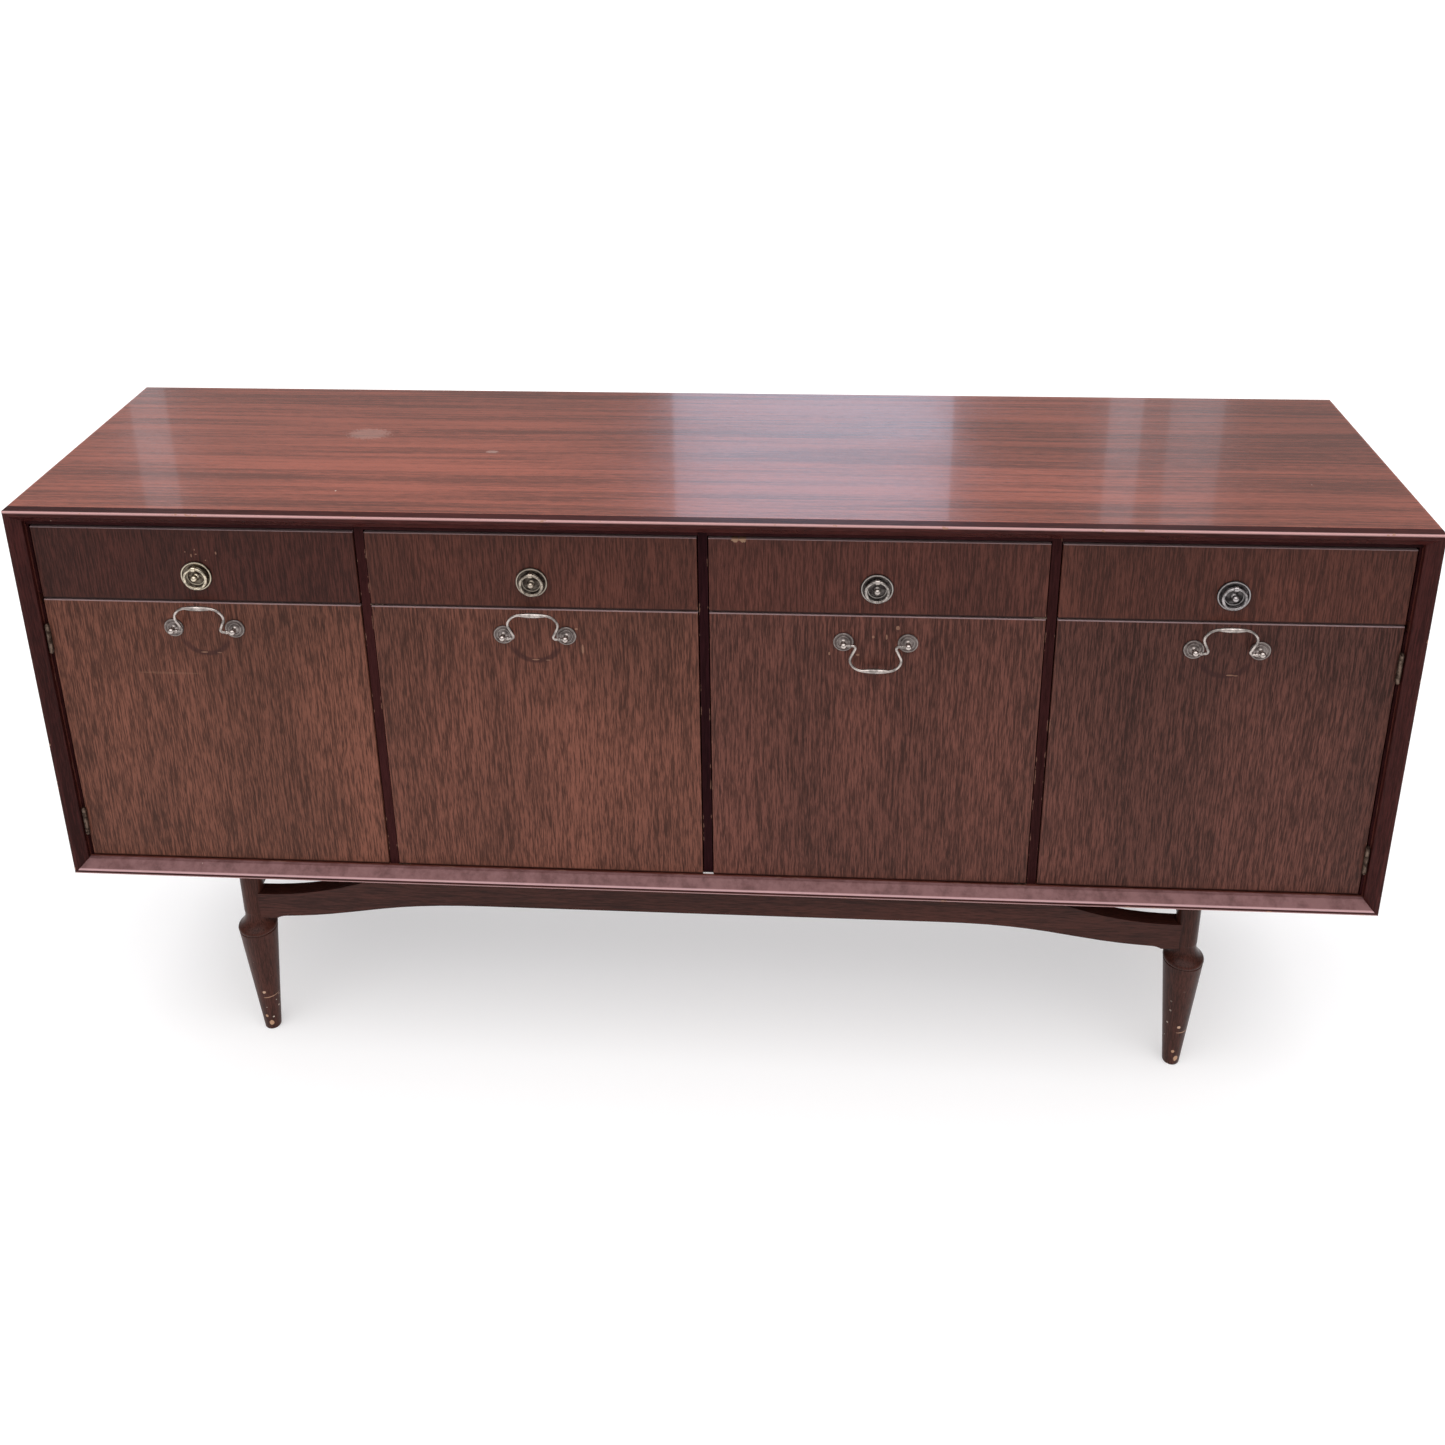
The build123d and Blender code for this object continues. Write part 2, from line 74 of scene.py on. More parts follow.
def put(tree, kind, inputs=(), **options):
    node = tree.nodes.new("ShaderNode" + kind)
    for key, value in options.items():
        setattr(node, key, value)
    for key, value in dict(inputs).items():
        join(tree, value, node.inputs[key])
    return node


def sums(tree, operation, first, second=0.0, clamp=False):
    return put(tree, "Math", {0: first, 1: second}, operation=operation, use_clamp=clamp).outputs[0]


def spread(tree, value, low, high, toLow=0.0, toHigh=1.0, smooth=True):
    kind = "SMOOTHSTEP" if smooth else "LINEAR"
    return put(tree, "MapRange", {0: value, 1: low, 2: high, 3: toLow, 4: toHigh},
               interpolation_type=kind, clamp=True).outputs[0]


def blended(tree, share, first, second):
    return put(tree, "Mix", {0: share, 6: first, 7: second}, data_type="RGBA").outputs[2]


def place(tree):
    return put(tree, "TexCoord").outputs["Object"]


def stretched(tree, spot, grain, along, across, shift=0.0):
    scale = [across, across, across]
    scale["XYZ".index(grain)] = along
    moved = (shift, shift * 1.7, shift * 0.6)
    return put(tree, "Mapping", {"Vector": spot, "Scale": scale, "Location": moved}).outputs[0]


def clouds(tree, spot, scale=1.0, detail=2.0, roughness=0.5):
    settings = {"Vector": spot, "Scale": scale, "Detail": detail, "Roughness": roughness}
    return put(tree, "TexNoise", settings).outputs[0]


def specks(tree, spot, perMetre, size, share):
    # small round dots, sizes in metres; share is how many of the cells hold one
    cells = put(tree, "TexVoronoi", {"Vector": spot, "Scale": perMetre})
    parts = put(tree, "SeparateColor", {0: cells.outputs["Color"]})
    radius = sums(tree, "MULTIPLY", sums(tree, "ADD", parts.outputs[1], 0.35), size * perMetre)
    dot = sums(tree, "LESS_THAN", cells.outputs["Distance"], radius)
    return sums(tree, "MULTIPLY", dot, sums(tree, "LESS_THAN", parts.outputs[0], share))


def edgeGap(tree, parts, low, high, i):
    # how far a point is from the nearer of two opposite faces
    fromLow = sums(tree, "SUBTRACT", parts[i], low[i])
    fromHigh = sums(tree, "SUBTRACT", high[i], parts[i])
    return sums(tree, "MINIMUM", fromLow, fromHigh)


def edgeDistance(tree, spot, low, high):
    # how far a point of a boxy piece's skin is from the nearest edge, in metres
    parts = put(tree, "SeparateXYZ", {0: spot}).outputs
    gaps = [edgeGap(tree, parts, low, high, i) for i in range(3)]
    total = sums(tree, "ADD", sums(tree, "ADD", gaps[0], gaps[1]), gaps[2])
    widest = sums(tree, "MAXIMUM", sums(tree, "MAXIMUM", gaps[0], gaps[1]), gaps[2])
    return sums(tree, "SUBTRACT", total, widest)


def spotMask(tree, spot, ragged, centre, radii):
    # one soft-edged mark with a ragged outline; radii in metres, very large where a direction doesn't matter
    away = put(tree, "VectorMath", {0: spot, 1: centre}, operation="SUBTRACT").outputs[0]
    share = put(tree, "VectorMath", {0: away, 1: radii}, operation="DIVIDE").outputs[0]
    far = put(tree, "VectorMath", {0: share}, operation="LENGTH").outputs["Value"]
    return spread(tree, sums(tree, "ADD", far, ragged), 1.15, 1.5, 1.0, 0.0)


def hoopMask(tree, spot, centre, radii, width):
    # the lower half of an oval outline; radii in metres, width as a share of them
    away = put(tree, "VectorMath", {0: spot, 1: centre}, operation="SUBTRACT").outputs[0]
    share = put(tree, "VectorMath", {0: away, 1: radii}, operation="DIVIDE").outputs[0]
    far = put(tree, "VectorMath", {0: share}, operation="LENGTH").outputs["Value"]
    off = sums(tree, "ABSOLUTE", sums(tree, "SUBTRACT", far, 1.0))
    line = spread(tree, off, width * 0.3, width, 1.0, 0.0)
    lower = spread(tree, put(tree, "SeparateXYZ", {0: share}).outputs[2], -0.45, 0.1, 1.0, 0.0)
    return sums(tree, "MULTIPLY", line, lower)


def dress(name, finish):
    mesh = nodes[name].data
    mesh.materials.clear()
    mesh.materials.append(finish)


woodGrain = {
    "band": (1.3, 30),          # along and across the grain, per metre
    "stripe": (24, 430),
    "fibre": (60, 800),
    "pore": (70, 1600),
    "sway": 0.012,              # how far the grain wanders sideways, metres
    "bareWood": tint(158, 118, 100),
    "dust": tint(222, 205, 190),
}


def wood(name, look, grain="X", box=None, marks=(), turn=None):
    finish, tree, shader = newFinish(name)
    g = woodGrain
    shift = look.get("shift", 0.0)
    spot = place(tree)
    if turn:
        spot = turn(tree, spot)
    wander = put(tree, "TexNoise", {"Vector": stretched(tree, spot, grain, 2.2, 5.0, shift),
                                    "Scale": 1.0, "Detail": 1.0})
    centred = put(tree, "VectorMath", {0: wander.outputs["Color"], 1: (0.5, 0.5, 0.5)},
                  operation="SUBTRACT").outputs[0]
    swayed = put(tree, "VectorMath", {0: centred, 1: (g["sway"],) * 3, 2: spot},
                 operation="MULTIPLY_ADD").outputs[0]
    band = clouds(tree, stretched(tree, swayed, grain, *g["band"], shift), detail=3.0, roughness=0.6)
    stripes = look.get("stripes", g["stripe"])
    stripe = clouds(tree, stretched(tree, swayed, grain, *stripes, shift + 3), detail=3.0, roughness=0.62)
    fibre = clouds(tree, stretched(tree, swayed, grain, *g["fibre"], shift + 7), detail=2.0, roughness=0.6)
    poreNoise = clouds(tree, stretched(tree, swayed, grain, *g["pore"], shift + 11), detail=1.0)
    pore = spread(tree, poreNoise, 0.60, 0.70)
    cloud = clouds(tree, stretched(tree, spot, grain, 3.0, 7.0, shift + 17), detail=3.0)

    tone = sums(tree, "MULTIPLY", band, look.get("band", 0.8))
    tone = sums(tree, "ADD", tone, sums(tree, "MULTIPLY", stripe, look.get("stripe", 0.9)))
    tone = sums(tree, "ADD", tone, sums(tree, "MULTIPLY", fibre, look.get("fibre", 0.9)))
    total = look.get("band", 0.8) + look.get("stripe", 0.9) + look.get("fibre", 0.9)
    tone = spread(tree, tone, total * 0.43, total * 0.57, smooth=False)
    base = look["colour"]
    ramp = put(tree, "ValToRGB", {0: tone})
    stops = ramp.color_ramp.elements
    stops[0].position = 0.0
    stops[0].color = scaled(base, look.get("low", 0.52))
    stops[1].position = 1.0
    stops[1].color = scaled(base, look.get("high", 1.55))
    middle = stops.new(0.5)
    middle.color = scaled(base, 1.0)
    colour = ramp.outputs[0]
    poreShade = sums(tree, "MULTIPLY", pore, look.get("poreDark", 0.55))
    colour = blended(tree, poreShade, colour, scaled(base, 0.30))
    shadeCloud = spread(tree, cloud, 0.30, 0.70, look.get("cloudLow", 0.82), look.get("cloudHigh", 1.12))
    colour = put(tree, "VectorMath", {0: colour, "Scale": shadeCloud}, operation="SCALE").outputs[0]
    for axis, low, high, share in look.get("endDarkening", ()):        # darker towards one end; on the door heads partly faded polish, partly painted shade
        along = put(tree, "SeparateXYZ", {0: spot}).outputs["XYZ".index(axis)]
        down = spread(tree, along, low, high, 1.0, share)
        colour = put(tree, "VectorMath", {0: colour, "Scale": down}, operation="SCALE").outputs[0]

    roughness = spread(tree, cloud, 0.3, 0.7, look["rough"] * 0.82, look["rough"] * 1.22)
    roughness = sums(tree, "ADD", roughness, sums(tree, "MULTIPLY", pore, 0.08))
    ragged = sums(tree, "SUBTRACT", clouds(tree, spot, 420.0, 2.0), 0.5)
    if box is not None:
        # worn and chipped edges; the edges are also painted lighter, partly rubbed wear and partly a painted
        # highlight
        away = edgeDistance(tree, spot, *box)
        patchy = clouds(tree, spot, look.get("wearScale", 38.0), 3.0, 0.65)
        reach = spread(tree, patchy, 0.50, 0.74, 0.0, look.get("wear", 0.0016))
        worn = sums(tree, "LESS_THAN", sums(tree, "ADD", away, sums(tree, "MULTIPLY", ragged, 0.0006)), reach)
        worn = sums(tree, "MULTIPLY", worn, sums(tree, "GREATER_THAN", patchy, look.get("wearFrom", 0.60)))
        colour = blended(tree, sums(tree, "MULTIPLY", worn, 0.75), colour, scaled(g["bareWood"], 0.8))
        # edges painted lighter: partly rubbed wear, partly a painted highlight along the arrises
        lightened = spread(tree, away, 0.0, look.get("rubAndHighlight", 0.004), 0.35, 0.0)
        colour = blended(tree, lightened, colour, scaled(base, 1.7))
        roughness = sums(tree, "ADD", roughness, sums(tree, "MULTIPLY", worn, 0.3))
        if "headHighlight" in look:      # a painted highlight along the upper edge: a pale line where the eased edge would catch the light
            top = box[1].z
            height = put(tree, "SeparateXYZ", {0: spot}).outputs[2]
            line = spread(tree, sums(tree, "ADD", height, sums(tree, "MULTIPLY", ragged, 0.0008)),
                          top - look["headHighlight"], top - look["headHighlight"] * 0.5)
            colour = blended(tree, sums(tree, "MULTIPLY", line, 0.6), colour, tint(168, 146, 148))
            foot = box[0].z         # and a painted shadow along the lower edge, the shade of the gap below it
            gapShade = spread(tree, height, foot + 0.0010, foot + 0.0022, 0.8, 0.0)
            colour = blended(tree, gapShade, colour, scaled(base, 0.3))
    for mark in marks:
        if "hoop" in mark:
            mask = hoopMask(tree, spot, mark["at"], mark["size"], mark["hoop"])
        else:
            outline = sums(tree, "MULTIPLY", ragged, mark.get("ragged", 0.8))
            mask = spotMask(tree, spot, outline, mark["at"], mark["size"])
        strong = sums(tree, "MULTIPLY", mask, mark.get("strength", 0.8))
        colour = blended(tree, strong, colour, mark.get("colour", g["bareWood"]))
    if "dust" in look:
        perMetre, size, share = look["dust"]
        dust = specks(tree, spot, perMetre, size, share)
        if "dustBelow" in look:
            height = put(tree, "SeparateXYZ", {0: spot}).outputs[2]
            dust = sums(tree, "MULTIPLY", dust, spread(tree, height, *look["dustBelow"], 1.0, 0.0))
        colour = blended(tree, sums(tree, "MULTIPLY", dust, 0.8), colour, g["dust"])
        roughness = sums(tree, "ADD", roughness, sums(tree, "MULTIPLY", dust, 0.3))
    join(tree, colour, shader.inputs["Base Color"])
    join(tree, roughness, shader.inputs["Roughness"])
    shader.inputs["Specular IOR Level"].default_value = look.get("specular", 0.4)
    shader.inputs["Coat Weight"].default_value = look.get("coat", 0.0)
    shader.inputs["Coat Roughness"].default_value = look.get("coatRough", 0.12)
    height = sums(tree, "SUBTRACT", sums(tree, "MULTIPLY", fibre, 0.5), pore)
    bump = put(tree, "Bump", {"Height": height, "Strength": look.get("relief", 0.25), "Distance": 0.00012})
    join(tree, bump.outputs[0], shader.inputs["Normal"])
    return finish


# the top, a glossy veneer with its grain along the length
topLook = {
    "colour": tint(126, 68, 54), "rough": 0.22, "specular": 0.26, "coat": 0.30, "coatRough": 0.05,
    "band": 0.9, "stripe": 1.0, "fibre": 0.7, "low": 0.58, "high": 1.40, "poreDark": 0.35, "relief": 0.10,
    "stripes": (2.6, 190), "endDarkening": [("Y", -0.12, 0.21, 0.80), ("X", 0.45, 0.82, 0.86)],
    "cloudLow": 0.90, "cloudHigh": 1.10, "wear": 0.0012, "dust": (22, 0.0008, 0.16), "shift": 2.3,
}
cupStain = {"colour": tint(215, 190, 180)}
topMarks = [
    dict(cupStain, at=(-0.462, 0.045, 0.814), size=(0.020, 0.013, 9), ragged=2.4, strength=0.16),
    dict(cupStain, at=(-0.285, -0.01, 0.814), size=(0.006, 0.003, 9), ragged=2.0, strength=0.25),
]
dress("top_panel", wood("topVeneer", topLook, "X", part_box("top_panel"), topMarks))

caseLook = {"colour": tint(86, 44, 36), "rough": 0.32, "specular": 0.25, "coat": 0.15, "coatRough": 0.15,
            "dust": (14, 0.0008, 0.12), "wear": 0.0015}
for n, (name, grain) in enumerate((("left_side", "Z"), ("right_side", "Z"), ("bottom_panel", "X"))):
    look = dict(caseLook, shift=4.1 + n)
    if name == "bottom_panel":
        look.update(rough=0.5, coat=0.0)
    dress(name, wood("caseVeneer" + str(n + 1), look, grain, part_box(name)))


def turnAtMitres(tree, spot):
    # the upright lengths have their grain upright: swap height and length beyond the mitre
    parts = put(tree, "SeparateXYZ", {0: spot}).outputs
    (lowX, lowY, lowZ), (highX, highY, highZ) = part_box("front_lipping")
    outX = sums(tree, "SUBTRACT", sums(tree, "ABSOLUTE", parts[0]), highX)
    fromMiddle = sums(tree, "ABSOLUTE", sums(tree, "SUBTRACT", parts[2], (lowZ + highZ) / 2))
    outZ = sums(tree, "SUBTRACT", fromMiddle, (highZ - lowZ) / 2)
    upright = sums(tree, "GREATER_THAN", outX, outZ)
    swapped = put(tree, "CombineXYZ", {0: parts[2], 1: parts[1], 2: parts[0]}).outputs[0]
    mixed = put(tree, "Mix", {0: upright, 4: spot, 5: swapped}, data_type="VECTOR").outputs[1]
    return mixed


def lippingWood():
    # the worn front frame: chips along its outer arris, painted highlights along the level arrises and the
    # foot's inner arris, and a painted reflection on the foot's slope
    look = {"colour": tint(58, 26, 24), "rough": 0.26, "specular": 0.05, "coat": 0.04, "coatRough": 0.10,
            "low": 0.62, "high": 1.4, "poreDark": 0.4, "dust": (60, 0.0006, 0.10), "shift": 6.0, "relief": 0.15}
    finish = wood("lippingWood", look, "X", turn=turnAtMitres)
    tree = finish.node_tree
    shader = next(n for n in tree.nodes if n.type == "BSDF_PRINCIPLED")
    spot = place(tree)
    low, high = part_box("front_lipping")
    parts = put(tree, "SeparateXYZ", {0: spot}).outputs
    back = sums(tree, "SUBTRACT", parts[1], low.y)
    inward = [edgeGap(tree, parts, low, high, i) for i in (0, 2)]
    outer = sums(tree, "ADD", back, sums(tree, "MINIMUM", inward[0], inward[1]))        # from the outer arris
    level = sums(tree, "GREATER_THAN", inward[0], inward[1])        # 1 on the top and bottom lengths
    foot = sums(tree, "MULTIPLY", level, sums(tree, "LESS_THAN", parts[2], (low.z + high.z) / 2))
    patchy = clouds(tree, spot, 55.0, 3.0, 0.7)
    colour = shader.inputs["Base Color"].links[0].from_socket
    # a painted reflection: the foot's slope is painted paler in patches; and every level arris gets a painted
    # highlight
    slopeReflection = spread(tree, sums(tree, "SUBTRACT", parts[2], low.z), 0.005, 0.008)
    lightened = spread(tree, patchy, 0.25, 0.65, 0.45, 0.85)
    slopeReflection = sums(tree, "MULTIPLY", sums(tree, "MULTIPLY", slopeReflection, foot), lightened)
    colour = blended(tree, slopeReflection, colour, tint(136, 100, 100))
    arrisHighlight = spread(tree, outer, 0.0010, 0.0032, 0.85, 0.0)
    colour = blended(tree, sums(tree, "MULTIPLY", arrisHighlight, level), colour, tint(206, 162, 160))
    # a painted highlight along the foot's inner arris
    fromInner = sums(tree, "ABSOLUTE", sums(tree, "SUBTRACT", parts[2], low.z + 0.0066))
    innerHighlight = spread(tree, fromInner, 0.0004, 0.0017, 0.8, 0.0)
    colour = blended(tree, sums(tree, "MULTIPLY", innerHighlight, foot), colour, tint(206, 166, 168))
    chip = sums(tree, "LESS_THAN", outer, spread(tree, patchy, 0.56, 0.72, 0.0, 0.0030))
    chip = sums(tree, "MULTIPLY", chip, sums(tree, "GREATER_THAN", patchy, 0.585))
    colour = blended(tree, sums(tree, "MULTIPLY", chip, 0.8), colour, scaled(woodGrain["bareWood"], 1.05))
    join(tree, colour, shader.inputs["Base Color"])
    return finish


dress("front_lipping", lippingWood())

# drawer and door fronts: one veneer, each with its own tone; a dark arc under each bail, and pale nicks
drawerBox = [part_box("drawer_%d_front" % n) for n in (1, 2, 3, 4)]
doorBox = [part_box("door_%d_panel" % n) for n in (1, 2, 3, 4)]
frontLook = {"rough": 0.42, "specular": 0.10, "coat": 0.02, "coatRough": 0.25, "low": 0.50, "high": 1.58,
             "band": 0.25, "stripe": 1.0, "fibre": 0.9, "poreDark": 0.65, "relief": 0.4,
             "wear": 0.0010, "rubAndHighlight": 0.0022, "wearFrom": 0.64, "headHighlight": 0.0012}
frontTones = {
    "drawer": [tint(64, 33, 27), tint(74, 41, 33), tint(74, 41, 34), tint(77, 43, 35)],
    "door": [tint(98, 60, 48), tint(97, 59, 48), tint(87, 52, 44), tint(80, 48, 41)],
    "headDarkening": [0.80, 0.76, 0.84, 0.68],       # how dark the head of each door is painted, partly as painted shade
}
scratch = tint(150, 112, 92)
nick = {"strength": 0.6, "colour": scratch}
nickHeight = 0.752              # the nicks above the first ring pull
bailHeight = 0.6518             # the bails' pins
dark = tint(52, 28, 26)
for n in range(4):
    low, high = drawerBox[n]
    midX = (low.x + high.x) / 2
    marks = []
    if n == 0:
        marks += [dict(nick, at=(midX + dx, 0, nickHeight + dz), size=(wide, 9, tall))
                  for dx, dz, wide, tall in ((-0.003, -0.001, 0.0006, 0.0018), (0.002, 0.007, 0.0005, 0.0010),
                                             (0.0030, 0.001, 0.0010, 0.0006), (0.028, 0.003, 0.0007, 0.0015),
                                             (0.014, -0.007, 0.0006, 0.0006), (-0.010, 0.004, 0.0004, 0.0007))]
    if n == 2:
        marks += [{"at": (x, 0, high.z), "size": (0.0032, 9, 0.0034), "strength": 0.95, "ragged": 1.6,
                   "colour": tint(150, 118, 96)} for x in (0.0385, 0.0475)]
    look = dict(frontLook, colour=frontTones["drawer"][n], shift=1.0 + 2.9 * n,
                dust=(16, 0.0008, 0.14), low=0.60, high=1.42)
    dress("drawer_%d_front" % (n + 1), wood("drawerVeneer%d" % (n + 1), look, "Z", drawerBox[n], marks))
    low, high = doorBox[n]
    marks = [
        {"at": (midX, 0, 0.6380), "size": (0.0275, 9, 0.0220), "hoop": 0.22, "strength": 0.70, "colour": dark},
        dict(nick, at=(midX - 0.005 + 0.004 * n, 0, 0.6172), size=(0.0034, 9, 0.0007)),
        {"at": (midX + 0.014, 0, 0.6168), "size": (0.0022, 9, 0.0006), "strength": 0.45, "colour": scratch},
    ]
    if n == 0:
        marks.append({"at": (midX - 0.055, 0, 0.586), "size": (0.030, 9, 0.0012),
                      "strength": 0.16, "ragged": 1.6, "colour": scratch})
    if n == 1:
        marks.append(dict(nick, at=(-0.1482, 0, 0.633), size=(0.0011, 9, 0.0050)))
        marks.append(dict(nick, at=(-0.1550, 0, 0.661), size=(0.0014, 9, 0.0010), strength=0.7))
    if n == 2:
        marks = [dict(nick, at=(midX + dx, 0, bailHeight + dz), size=(wide, 9, tall))
                 for dx, dz, wide, tall in ((0.026, 0.020, 0.0016, 0.0022), (0.013, 0.007, 0.0008, 0.0026),
                                            (-0.003, 0.007, 0.0011, 0.0014), (-0.021, -0.018, 0.0014, 0.0012),
                                            (-0.055, -0.017, 0.0009, 0.0016))]
    look = dict(frontLook, colour=frontTones["door"][n], shift=13.0 + 3.7 * n, dust=(11, 0.0008, 0.16),
                endDarkening=[("Z", 0.50, high.z, frontTones["headDarkening"][n])])
    dress("door_%d_panel" % (n + 1), wood("doorVeneer%d" % (n + 1), look, "Z", doorBox[n], marks))
print("top, sides and fronts are veneered")

# dark edges between the fronts, their darkness partly painted shade of the recesses
edgeLook = {"colour": tint(46, 20, 21), "rough": 0.42, "specular": 0.02, "low": 0.7, "high": 1.3, "relief": 0.2,
            "dust": (12, 0.0006, 0.06)}
for n, name in enumerate(("partition_left", "partition_centre", "partition_right")):
    # the centre partition is set furthest back and is painted darker still, as painted shade
    tone = tint(36, 14, 17) if n == 1 else tint(48, 22, 22)
    look = dict(edgeLook, colour=tone, shift=2.0 * n)
    dress(name, wood("partitionWood" + str(n + 1), look, "Z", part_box(name)))
railWood = wood("railWood", dict(edgeLook, shift=9.0), "X")
for name in ("top_rails", "divider_rails"):
    dress(name, railWood)
dress("hinge_strips", wood("stripWood", dict(edgeLook, shift=12.0), "Z"))

# the stand
standLook = {"colour": tint(60, 32, 26), "rough": 0.34, "specular": 0.10, "coat": 0.05, "coatRough": 0.2,
             "low": 0.6, "high": 1.35, "band": 0.6, "poreDark": 0.5, "wear": 0.0011, "relief": 0.3}
for n, name in enumerate(("stand_front_rail", "stand_back_rail")):
    dress(name, wood("longRailWood" + str(n + 1), dict(standLook, shift=1.5 + n, dust=(20, 0.0007, 0.06)), "X"))
dress("stand_end_rails", wood("endRailWood", dict(standLook, shift=5.5), "Y"))
legKnocks = [       # from the leg's middle, height, width, tallness, strength, colour
    (0.003, -0.008, 0.013, 0.0022, 0.0034, 0.9, tint(190, 150, 120)),
    (-0.002, -0.010, 0.026, 0.0016, 0.0018, 0.8, tint(190, 150, 120)),
    (0.001, -0.015, 0.071, 0.0017, 0.0017, 0.85, tint(200, 165, 140)),
    (0.008, -0.012, 0.061, 0.007, 0.0006, 0.7, tint(180, 140, 115)),
]
legLook = {"dust": (150, 0.0013, 0.16), "dustBelow": (0.02, 0.15)}
for n, name in enumerate(("leg_front_left", "leg_front_right", "leg_back_left", "leg_back_right")):
    low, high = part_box(name)
    midX, midY = (low.x + high.x) / 2, (low.y + high.y) / 2
    marks = [{"at": (midX + dx, midY + dy, z), "size": (wide, 0.02, tall), "strength": strong, "colour": tone}
             for dx, dy, z, wide, tall, strong, tone in legKnocks]
    look = dict(standLook, colour=tint(62, 33, 26), shift=3.3 * n, **legLook)
    dress(name, wood("legWood" + str(n + 1), look, "Z", None, marks if n < 2 else marks[:2]))

# inside the case
innerLook = {"colour": tint(140, 88, 62), "rough": 0.5, "specular": 0.3, "low": 0.7, "high": 1.3,
             "relief": 0.3, "shift": 8.0}
dress("shelves", wood("shelfVeneer", innerLook, "X"))
boxLook = {"colour": tint(190, 150, 108), "rough": 0.6, "specular": 0.25, "low": 0.78, "high": 1.18,
           "poreDark": 0.3, "relief": 0.35}
dress("drawer_runners", wood("runnerWood", dict(boxLook, colour=tint(170, 128, 90), shift=2.0), "Y"))
for n in range(4):
    dress("drawer_%d_box" % (n + 1), wood("drawerBoxWood%d" % (n + 1), dict(boxLook, shift=5.0 * n), "Y"))
backLook = {"colour": tint(136, 96, 66), "rough": 0.65, "specular": 0.2, "low": 0.74, "high": 1.22,
            "relief": 0.5, "cloudLow": 0.72, "shift": 3.0, "dust": (26, 0.0010, 0.08)}
dress("back_panel", wood("backPly", backLook, "X"))
print("stand, partitions and insides are finished")


def oldMetal(name, look, proud=None):
    # proud is (face y, rise): what stands further out than rise is rubbed bright, the hollows keep their dark
    finish, tree, shader = newFinish(name)
    spot = place(tree)
    shift = look.get("shift", 0.0)
    moved = put(tree, "VectorMath", {0: spot, 1: (shift, shift, shift)}, operation="ADD").outputs[0]
    patina = clouds(tree, moved, look.get("patch", 170.0), 4.0, 0.65)
    fine = clouds(tree, moved, 1400.0, 3.0, 0.6)
    share = spread(tree, patina, 0.34, 0.66)
    if proud:
        face, low, high = proud
        out = sums(tree, "SUBTRACT", face, put(tree, "SeparateXYZ", {0: spot}).outputs[1])
        lightened = spread(tree, out, low, high)
        share = sums(tree, "MULTIPLY", share, 0.20)
        share = sums(tree, "ADD", share, sums(tree, "MULTIPLY", lightened, 0.82), clamp=True)
    colour = blended(tree, share, look["dark"], look["bright"])
    pits = spread(tree, fine, 0.60, 0.72)
    colour = blended(tree, sums(tree, "MULTIPLY", pits, 0.5), colour, scaled(look["dark"], 0.6))
    join(tree, colour, shader.inputs["Base Color"])
    rough = spread(tree, share, 0.0, 1.0, look["rough"] * 1.5, look["rough"])
    join(tree, rough, shader.inputs["Roughness"])
    shader.inputs["Metallic"].default_value = look.get("metallic", 1.0)
    bump = put(tree, "Bump", {"Height": sums(tree, "ADD", patina, sums(tree, "MULTIPLY", fine, 0.35)),
                              "Strength": look.get("relief", 0.25), "Distance": 0.0003})
    join(tree, bump.outputs[0], shader.inputs["Normal"])
    return finish


faceY = doorBox[0][0].y
pullTones = [
    {"bright": tint(216, 204, 182), "dark": tint(46, 34, 26), "rough": 0.22},
    {"bright": tint(182, 170, 156), "dark": tint(42, 34, 30), "rough": 0.28},
    {"bright": tint(180, 172, 166), "dark": tint(38, 32, 32), "rough": 0.28},
    {"bright": tint(178, 172, 172), "dark": tint(38, 34, 34), "rough": 0.28},
]
bailTone = {"bright": tint(196, 186, 180), "dark": tint(82, 72, 70), "rough": 0.26}
for n in range(4):
    look = dict(pullTones[n], shift=0.37 * n)
    dress("pull_%d_plate" % (n + 1), oldMetal("pullPlateMetal%d" % (n + 1), look, (faceY, 0.0020, 0.0030)))
    ringLook = dict(look, dark=scaled(look["bright"], 0.35), rough=0.22)
    dress("pull_%d_ring" % (n + 1), oldMetal("pullRingMetal%d" % (n + 1), ringLook))
    look = dict(bailTone, shift=1.1 + 0.37 * n)
    dress("handle_%d_rosettes" % (n + 1), oldMetal("rosetteMetal%d" % (n + 1), look, (faceY, 0.0010, 0.0042)))
    hoopLook = dict(look, dark=scaled(look["bright"], 0.38), patch=90.0)
    dress("handle_%d_bail" % (n + 1), oldMetal("bailMetal%d" % (n + 1), hoopLook))

hingeTone = {"bright": tint(122, 104, 92), "dark": tint(62, 48, 42), "rough": 0.52, "relief": 0.4}
hingeMetal = oldMetal("hingeBrass", hingeTone)
for name in ["hinge_leaves", "hinge_pins", "pivot_brackets"] + ["door_%d_fittings" % n for n in (1, 2, 3, 4)]:
    dress(name, hingeMetal)
zincMetal = oldMetal("dullZinc", {"bright": tint(176, 176, 172), "dark": tint(104, 102, 98), "rough": 0.42})
for name in ("back_panel_screws", "shelf_pegs"):
    dress(name, zincMetal)


